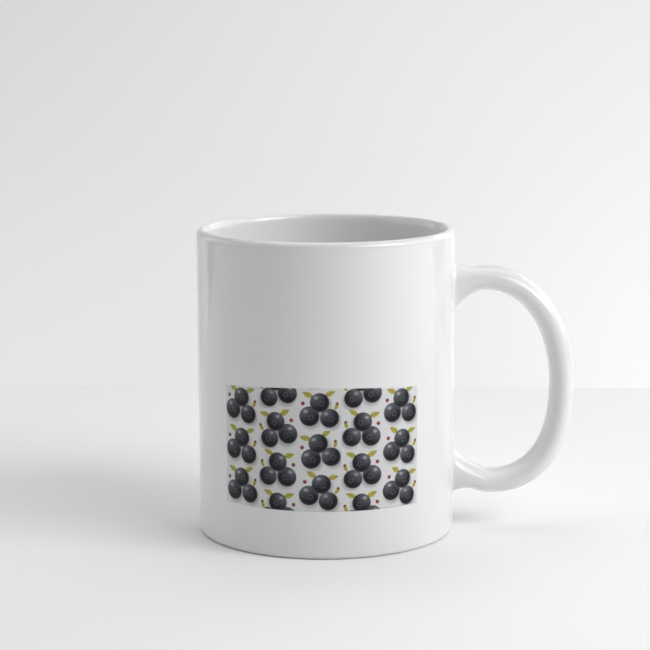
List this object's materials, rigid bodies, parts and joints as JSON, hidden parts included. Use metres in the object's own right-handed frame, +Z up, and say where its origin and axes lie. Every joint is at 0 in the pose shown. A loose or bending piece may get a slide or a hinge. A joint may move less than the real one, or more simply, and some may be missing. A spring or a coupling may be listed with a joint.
{
  "type": "mug",
  "caption": "Straight-sided white glazed ceramic mug with rounded lip, recessed foot and an oval strap handle, with a printed panel low on its front.",
  "frame": {"origin": "on the surface the mug stands on, under the middle of its bounding box; the cup's own axis is upright at x = -0.018925 m, y = 0", "axes": "+X from the cup towards the handle, +Z up, +Y away from the printed front"},
  "size_m": [0.1186, 0.0808, 0.096],
  "materials": {
    "glaze": "gloss",
    "print": "gloss"
  },
  "bodies": {
    "root": {"mug": "glaze"}
  },
  "joints": []
}
